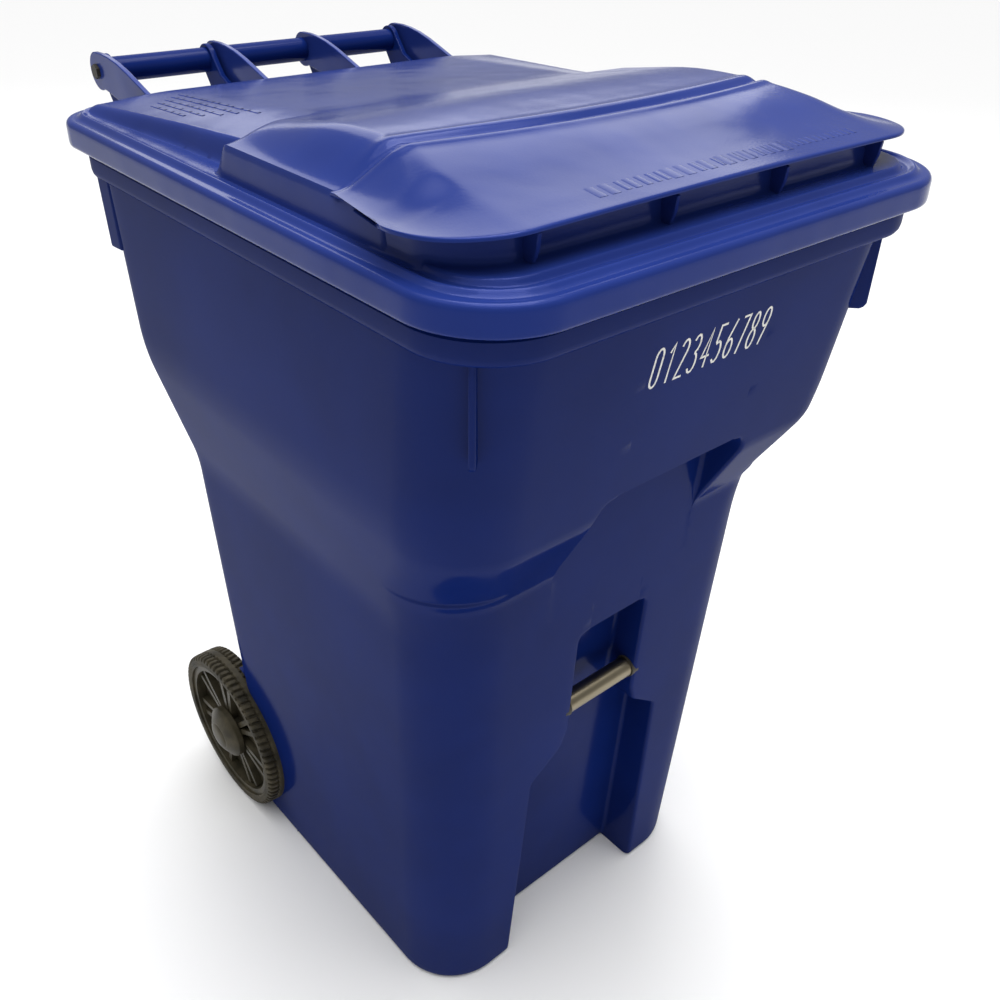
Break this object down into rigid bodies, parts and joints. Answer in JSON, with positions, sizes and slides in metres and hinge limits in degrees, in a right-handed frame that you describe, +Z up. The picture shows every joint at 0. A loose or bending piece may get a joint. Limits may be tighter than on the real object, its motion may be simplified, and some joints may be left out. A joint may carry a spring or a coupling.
{
  "type": "wheelie bin",
  "caption": "Two-wheeled plastic refuse cart with a hinged lid, a rear handle tube, a steel catch bar in the front wall and loose-running wheels.",
  "frame": {"origin": "middle of the footprint, on the ground", "axes": "+Z up, front with the catch bar towards -Y, hinge and wheels towards +Y"},
  "size_m": [0.612, 0.808, 1.083],
  "materials": {
    "moulded_plastic": "glossy moulded polyethylene",
    "zinc_steel": "zinc-plated steel",
    "black_plastic": "plain moulded",
    "wheel_plastic": "plain moulded",
    "tyre": "moulded tread"
  },
  "bodies": {
    "tub": {"tub": "moulded_plastic", "handle_tube": "moulded_plastic", "catch_bar": "zinc_steel", "bar_sleeve_left": "black_plastic", "bar_sleeve_right": "black_plastic", "axle": "zinc_steel", "hinge_pin_left": "black_plastic", "hinge_pin_right": "black_plastic", "spacer_left": "black_plastic", "spacer_right": "black_plastic", "washer_left": "zinc_steel", "washer_right": "zinc_steel", "retainer_left": "zinc_steel", "retainer_right": "zinc_steel"},
    "lid": {"lid": "moulded_plastic"},
    "wheel_left": {"wheel_left": "wheel_plastic", "tyre_left": "tyre", "hub_cap_left": "wheel_plastic"},
    "wheel_right": {"wheel_right": "wheel_plastic", "tyre_right": "tyre", "hub_cap_right": "wheel_plastic"}
  },
  "joints": [
    {"name": "lid_hinge", "type": "hinge", "parent": "tub", "child": "lid", "pos_m": [0, 0.384, 1.038], "axis": [-1, 0, 0], "range_deg": [0, 268]},
    {"name": "wheel_left_spin", "type": "hinge", "parent": "tub", "child": "wheel_left", "pos_m": [0, 0.241, 0.127], "axis": [1, 0, 0], "continuous": true},
    {"name": "wheel_right_spin", "type": "hinge", "parent": "tub", "child": "wheel_right", "pos_m": [0, 0.241, 0.127], "axis": [1, 0, 0], "continuous": true}
  ]
}
